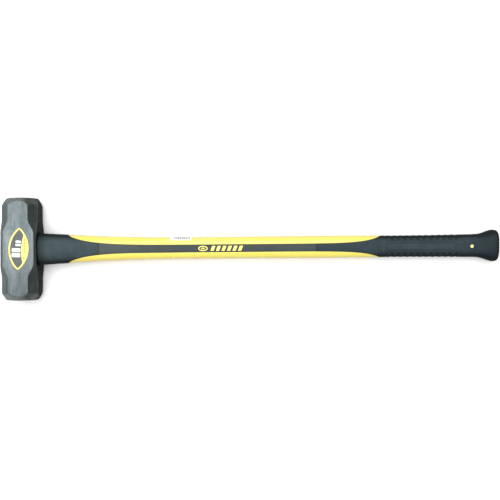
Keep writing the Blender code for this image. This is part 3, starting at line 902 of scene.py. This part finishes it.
def build_strip(name, node, base):
    xs = with_ends([COLLAR_TONGUE_END + 0.35] + spaced(140.0, 200.0, 20)
                   + spaced(206.0, 500.0, 42) + [508.0, GRIP_TONGUE_START - 0.10])
    ends = (xs[0], xs[-1])
    outer, inner = [], []
    for x in xs:
        a, b = half_axes(x)
        sink = STRIP_SINK * smooth((x - xs[0]) / 7.0) * smooth((xs[-1] - x) / 9.0)
        rows = fill_samples(x, band_angle(x), 14, sink)
        tail = end_inset(x, ends)
        outer.append([(x, *oval(a, b, base + t, -max(i, tail))) for t, i in rows])
        inner.append([(x, *oval(*skin_axes(x), base + t)) for t, _ in rows])
    obj = grid_shell(name, outer, inner, lambda i, j: True, STRIP_PLASTIC, wrap=False, sharp=50.0)
    return keep(obj, "black_strip", node)


RIB_START, RIB_END, RIB_PITCH = 638.0, 765.0, 11.2
PAD_LENGTH, PAD_INNER = 6.2, 11.6        # each pad's length, and where it begins from the middle
PANEL = (638.0, 757.0, 6.2)              # start, end and half width of the long panel


def pill(x, y, x0, x1, half, soft):
    """1 inside a rectangle with rounded corners, falling to 0 over soft."""
    cx, hx = (x0 + x1) / 2, (x1 - x0) / 2
    r = min(half, hx) * 0.45
    dx, dy = max(0.0, abs(x - cx) - (hx - r)), max(0.0, abs(y) - (half - r))
    return 1.0 - smooth((math.hypot(dx, dy) - r + soft) / soft)


def pad_height(x, y):
    """1 on top of the pads round both sides of the grip."""
    if not RIB_START - 1 < x < RIB_END + 1:
        return 0.0
    phase = (x - RIB_START) % RIB_PITCH
    along = smooth(phase / 1.2) * smooth((PAD_LENGTH - phase) / 1.2) if phase < PAD_LENGTH else 0.0
    return along * smooth((abs(y) - PAD_INNER) / 1.1)


def bars_height(x, y):
    """1 on the plain raised bars in the end of the panel."""
    if not 716.0 < x < 752.0:
        return 0.0
    phase = (x - 716.0) % 6.0
    along = smooth(phase / 0.8) * smooth((3.4 - phase) / 0.8) if phase < 3.4 else 0.0
    return along * smooth((3.9 - abs(y)) / 0.8)


def grip_shape(x, angle):
    """Height of the moulded relief of the grip."""
    y, _ = oval(*half_axes(x), angle)
    inside = smooth((x - RIB_START + 3.0) / 3.0) * smooth((RIB_END - x + 3.0) / 3.0)
    side = smooth((abs(y) - PAD_INNER + 1.2) / 1.6)
    h = 0.55 * pad_height(x, y) - 0.50 * side * inside
    if PANEL[0] - 4 < x < PANEL[1] + 4:
        h -= 0.50 * pill(x, y, PANEL[0] - 1.6, PANEL[1] + 1.6, PANEL[2] + 1.6, 0.9)
        h += 0.50 * pill(x, y, PANEL[0], PANEL[1], PANEL[2], 0.9)
        h += 0.30 * bars_height(x, y)
    return h


def grip_light_and_shade(x, angle):
    """Painted light on the relief: highlights at the pads' inner ends, a lighter panel and bars, and painted
    shade in the grooves and on the pads' outer parts.
    """
    y, _ = oval(*half_axes(x), angle)
    inside = smooth((x - RIB_START + 3.0) / 3.0) * smooth((RIB_END - x + 3.0) / 3.0)
    pad = pad_height(x, y)
    lit_and_shaded = -0.34 * smooth((abs(y) - PAD_INNER + 1.2) / 1.6) * inside * (1.0 - pad)
    lit_and_shaded += (0.30 * smooth((PAD_INNER + 3.0 - abs(y)) / 0.8)
             - 0.30 * smooth((abs(y) - PAD_INNER - 2.6) / 0.8)) * pad
    if PANEL[0] - 4 < x < PANEL[1] + 4:
        panel = pill(x, y, PANEL[0], PANEL[1], PANEL[2], 0.8)
        groove = pill(x, y, PANEL[0] - 1.6, PANEL[1] + 1.6, PANEL[2] + 1.6, 0.9) - panel
        lit_and_shaded += 0.09 * panel - 0.32 * groove + 0.16 * bars_height(x, y)
    return lit_and_shaded


def build_grip():
    ring_start = BAND_END + 0.12 + FIT
    tongue = with_ends([GRIP_TONGUE_START + 0.10, 519.0] + spaced(524.0, BAND_END - 32.0, 22)
                       + [BAND_END - 30.0 * (1 - k / 26) ** 1.8 for k in range(27)], True, False)
    ring = ([ring_start] + spaced(634.0, 638.0, 4) + spaced(638.7, 769.5, 190)
            + spaced(771.0, 796.0, 20)[:-1] + spaced(796.0, 828.0, 30))
    end = [829.0, 830.0, 830.9, 831.7, 832.4, 833.0, 833.5, 833.9, 834.3, 834.6, 834.85]
    xs = tongue + ring + end
    ends = (xs[0],)
    pairs = [full_loop(x, ends, grip_shape, grip_light_and_shade) for x in xs]
    outer = [p[0] for p in pairs]
    marks = [p[2] for p in pairs] + [[0.0] * len(pairs[0][2])] * 4
    pocket = 827.0
    inner = []
    for x, pair in zip(xs, pairs):
        if x <= 785.0:
            inner.append(pair[1])
            continue
        reach = lerp(785.0, pocket, (x - 785.0) / (BUTT_X - 785.0))
        inner.append([(reach, y, z) for _, y, z in pair[1]])
    # flat butt, dished by a hair in the middle
    for f, x in ((0.93, BUTT_X - 0.02), (0.80, BUTT_X), (0.55, BUTT_X - 0.05), (0.25, BUTT_X - 0.12)):
        outer.append([(x, y * f, z * f) for _, y, z in outer[len(xs) - 1]])
        inner.append([(pocket + 0.01, y * f, z * f) for _, y, z in inner[len(xs) - 1]])
    last = len(outer) - 1
    stations = xs + [BUTT_X + 1.0] * 4
    grip = grid_shell("grip_moulding", outer, inner,
                      lambda i, j: stations[i] >= ring_start - 1e-6 or in_stripe(j), GRIP_RUBBER,
                      close=(False, True), sharp=50.0, attribute=marks)
    for side in (1, -1):
        count = 40
        _, b = half_axes(DOT_X)
        rows = ((CORE_RADIUS + 1.0, DOT_RADIUS + 0.05), (b - 0.55, DOT_RADIUS + 0.05),
                (b - 0.16, DOT_RADIUS + 0.22), (b + 0.8, DOT_RADIUS + 1.3))
        pts, quads = [], []
        for z, r in rows:
            pts += [(DOT_X + r * math.cos(2 * math.pi * k / count),
                     r * math.sin(2 * math.pi * k / count), z * side) for k in range(count)]
        for i in range(len(rows) - 1):
            quads += [(i * count + k, (i + 1) * count + k, (i + 1) * count + (k + 1) % count,
                       i * count + (k + 1) % count) for k in range(count)]
        quads += [list(range(count)), list(range((len(rows) - 1) * count, len(rows) * count))]
        cut(grip, new_object("window_tool", pts, quads, GRIP_RUBBER), sharp=50.0)
    return keep(grip, "black_rubber", "grip_sleeve")


# ----------------------------------------------------------------------- labels
DECAL_X, DECAL_TILT = 2.0, math.radians(2.4)
DECAL_BASE = HEAD_WIDTH / 2 + 0.10


def slab(name, outline, z0, z1, mat, slot, *nodes, place=None):
    """Thin closed plate from an outline; place maps (u, v, height) to a point."""
    place = place or (lambda u, v, h: (u, v, h))
    bm = bmesh.new()
    top = [bm.verts.new(place(u, v, z1)) for u, v in outline]
    low = [bm.verts.new(place(u, v, z0)) for u, v in outline]
    bm.faces.new(top)
    bm.faces.new(list(reversed(low)))
    n = len(outline)
    for k in range(n):
        bm.faces.new((low[k], low[(k + 1) % n], top[(k + 1) % n], top[k]))
    bm.verts.index_update()
    verts = [tuple(v.co) for v in bm.verts]
    faces = [[v.index for v in f.verts] for f in bm.faces]
    bm.free()
    return keep(new_object(name, verts, faces, mat, 30.0), slot, *nodes)


def on_cheek(u, v, h):
    c, s = math.cos(-DECAL_TILT), math.sin(-DECAL_TILT)
    return (u * c - v * s + DECAL_X, u * s + v * c, h)


def vesica(half_len, half_wid, tip, count=30):
    """Pointed oval whose tips are rounded by tip millimetres."""
    radius = (half_len ** 2 + half_wid ** 2) / (2 * half_wid)
    sweep = math.asin(half_len / radius)
    pts = []
    for side in (1, -1):
        for k in range(count + 1):
            angle = lerp(-sweep, sweep, k / count)
            u = side * (radius * math.cos(angle) - radius + half_wid)
            v = side * radius * math.sin(angle)
            over = abs(v) - (half_len - 2.2 * tip)
            if over > 0:
                v = math.copysign(half_len - 2.2 * tip + over * (1 - 0.20 * over / (2.2 * tip)), v)
            pts.append((u, v))
        pts.pop()
    return pts


def rounded_bar(cu, cv, hu, hv, r):
    pts = []
    for sx, sy, a0 in ((1, 1, 0), (-1, 1, 90), (-1, -1, 180), (1, -1, 270)):
        for k in range(5):
            t = math.radians(a0 + 22.5 * k)
            pts.append((cu + sx * (hu - r) + r * math.cos(t), cv + sy * (hv - r) + r * math.sin(t)))
    return pts


def build_decal():
    base = DECAL_BASE
    slab("decal_backing", vesica(37.4, 17.5, 2.4), base, base + 0.14, FILM_BROWN, "decal_film",
         "head_decal", place=on_cheek)
    slab("decal_border", vesica(36.9, 17.0, 2.4), base + 0.15, base + 0.19, PRINT_YELLOW,
         "decal_film", place=on_cheek)
    # grey field, bounded on its right by the crescent's inner arc
    half_len, half_wid = 33.6, 14.5
    radius = (half_len ** 2 + half_wid ** 2) / (2 * half_wid)
    sweep = math.asin(half_len / radius)
    left = [(-(radius * math.cos(a) - radius + half_wid), radius * math.sin(a))
            for a in spaced(sweep, -sweep, 30)]
    right = []
    for v in spaced(-half_len, half_len, 34)[1:-1]:
        outer = math.sqrt(radius ** 2 - v * v) - radius + half_wid
        arc = 4.7 + (v / 25.8) ** 2 * 3.6
        right.append((min(outer, arc), v))
    slab("decal_field", left + right, base + 0.20, base + 0.24, FILM_GREY, "decal_film",
         place=on_cheek)
    # plain weight bars
    for k, (cu, cv, hu, hv) in enumerate(((-3.9, -11.0, 7.4, 3.3), (-3.9, -2.4, 7.4, 3.3),
                                          (-0.9, 6.6, 4.5, 1.9), (-0.9, 12.2, 4.5, 1.9))):
        slab("decal_bar_%d" % (k + 1), rounded_bar(cu, cv, hu, hv, min(1.3, hv * 0.6)),
             base + 0.25, base + 0.29, PRINT_WHITE, "decal_film", place=on_cheek)
    # row of plain ticks in the crescent
    for k in range(7):
        v = lerp(-15.5, 15.5, k / 6)
        u = 10.4 - (v / 25.8) ** 2 * 2.2
        slab("decal_tick_%d" % (k + 1), rounded_bar(u, v, 0.7, 1.5, 0.5), base + 0.20,
             base + 0.23, FILM_DARK, "decal_film", place=on_cheek)


def build_tag():
    """Paper label round the handle's upper edge, with plain bars."""
    x0, x1, span = 260.0, 297.0, math.radians(50.0)

    def patch(name, xa, xb, ta, tb, low, high, mat, slot, *nodes):
        nx = max(2, int((xb - xa) / 2.5))
        nt = max(2, int((tb - ta) / 0.06))
        xs = spaced(xa, xb, nx)
        outer = [[(x, *oval(*half_axes(x), t, high)) for t in spaced(ta, tb, nt)] for x in xs]
        inner = [[(x, *oval(*half_axes(x), t, low)) for t in spaced(ta, tb, nt)] for x in xs]
        return keep(grid_shell(name, outer, inner, lambda i, j: True, mat, wrap=False, sharp=35.0),
                    slot, *nodes)

    patch("tag_paper", x0, x1, -span - 0.10, span - 0.10, 0.06, 0.16, PAPER, "label_paper",
          "barcode_label")
    widths = (1.0, 0.5, 0.5, 1.0, 0.5, 1.5, 0.5, 1.0, 0.5, 0.5, 1.5, 0.5, 1.0, 0.5, 1.0, 0.5,
              0.5, 1.0, 0.5)
    x = 266.5
    for k, w in enumerate(widths):
        patch("tag_bar_%02d" % (k + 1), x, x + w, math.radians(-32), math.radians(38), 0.165, 0.19,
              PRINT_BLACK, "label_paper")
        x += w + (0.65 if k % 3 else 0.95)


def build_marks():
    """Generic yellow print on the front strip: a ringed dot and slanted bars."""
    def on_strip(u, v, h):
        a, b = half_axes(u)
        angle = math.acos(math.copysign(min(1.0, abs(v) / a) ** (OVAL_POWER / 2), v))
        return (u, *oval(a, b, angle, h - STRIP_SINK))

    def ring(name, cx, rx, ry, band):
        count = 44
        verts, faces = [], []
        for grow, h in ((0.0, 0.02), (0.0, 0.09), (-band, 0.09), (-band, 0.02)):
            verts += [on_strip(cx + (rx + grow) * math.cos(2 * math.pi * k / count),
                               (ry + grow) * math.sin(2 * math.pi * k / count), h)
                      for k in range(count)]
        for i in range(4):
            m = (i + 1) % 4
            faces += [(i * count + k, i * count + (k + 1) % count, m * count + (k + 1) % count,
                       m * count + k) for k in range(count)]
        keep(new_object(name, verts, faces, PRINT_YELLOW, 40.0), "black_strip")

    ring("mark_ring", 317.5, 8.2, 4.6, 1.6)
    disc = [(317.5 + 3.4 * math.cos(t), 1.3 * math.sin(t)) for t in spaced(0, 2 * math.pi, 24)[:-1]]
    slab("mark_dot", disc, 0.02, 0.09, PRINT_YELLOW, "black_strip", place=on_strip)
    for k in range(6):
        start, width, lean, half = 332.0 + 9.6 * k, 5.6, 1.7, 4.3
        across = spaced(half, -half, 16)
        rows = [[[on_strip(start + f * width + lean * v / half, v, h) for v in across]
                 for f in spaced(0.0, 1.0, 4)] for h in (0.10, 0.02)]
        bar = grid_shell("mark_bar_%d" % (k + 1), rows[0], rows[1], lambda i, j: True,
                         PRINT_YELLOW, wrap=False, sharp=35.0)
        keep(bar, "black_strip")


build_head()
build_epoxy()
build_decal()
turn[0] = HANDLE_TURN
build_jacket()
build_collar()
build_strip("front_inlay", "front_strip", 0.0)
build_strip("rear_inlay", "rear_strip", math.pi)
build_grip()
build_tag()
build_marks()
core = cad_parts["glass_fibre_core"]
for slot in core.material_slots:
    slot.material = GLASS


# ------------------------------------------------------------------------ stage
def floor_material():
    n = Nodes("pale_floor")
    cloud = n.noise(2.2, 3.0, 0.5)
    base = n.mix(n.ramp(cloud, 0.3, 0.7), (0.905, 0.905, 0.902), (0.925, 0.925, 0.922))
    return n.set(Base_Color=base, Roughness=0.85, Specular_IOR_Level=0.15)


# the floor touches the cheek's edge and the underside of the butt
TOUCH_A = (28.0, 0.0)
TOUCH_B = (824.5, AXIS_Z - half_axes(824.5)[1] - 0.4)
slope = (TOUCH_B[1] - TOUCH_A[1]) / (TOUCH_B[0] - TOUCH_A[0])
size = 14.0
mesh = bpy.data.meshes.new("floor")
corners = [(0.4 + sx * size, sy * size) for sx, sy in ((-1, -1), (1, -1), (1, 1), (-1, 1))]
mesh.from_pydata([(x, y, (x - TOUCH_A[0] * MM) * slope - 0.0002) for x, y in corners], [],
                 [(0, 1, 2, 3)])
mesh.materials.append(floor_material())
floor = bpy.data.objects.new("floor", mesh)
bpy.context.scene.collection.objects.link(floor)


def softbox(name, location, target, width, depth, radiance, colour=(1.0, 1.0, 1.0)):
    light = bpy.data.lights.new(name, "AREA")
    light.shape = "RECTANGLE"
    light.size, light.size_y = width, depth
    light.energy = radiance * math.pi * width * depth
    light.color = colour
    obj = bpy.data.objects.new(name, light)
    obj.location = location
    obj.rotation_euler = (Vector(target) - Vector(location)).to_track_quat("-Z", "Y").to_euler()
    bpy.context.scene.collection.objects.link(obj)
    return obj


softbox("overhead", (0.05, 0.30, 1.90), (0.32, 0.0, 0.0), 2.7, 3.2, 3.55)
world = bpy.data.worlds.new("studio")
world.use_nodes = True
world.node_tree.nodes["Background"].inputs["Color"].default_value = (1.0, 1.0, 1.0, 1.0)
world.node_tree.nodes["Background"].inputs["Strength"].default_value = 0.30
bpy.context.scene.world = world

# ----------------------------------------------------------------------- camera
DISTANCE = 1400.0
SCALE = 1.7555              # width of the view at the handle's axis is 500 of these, in mm
PITCH, ROLL = math.radians(1.2), -0.0083
cam_data = bpy.data.cameras.new("camera")
cam_data.sensor_width = 36.0
cam_data.lens = 36.0 * (DISTANCE / SCALE) / 500.0
cam_data.clip_end = 60.0
camera = bpy.data.objects.new("camera", cam_data)
camera.location = (399.0 * MM, (-4.6 - DISTANCE * math.sin(PITCH)) * MM,
                   (AXIS_Z + DISTANCE * math.cos(PITCH)) * MM)
camera.rotation_euler = (PITCH, 0.0, ROLL)
bpy.context.scene.collection.objects.link(camera)
bpy.context.scene.camera = camera
bpy.context.scene.view_settings.view_transform = "Standard"
bpy.context.scene.view_settings.look = "None"
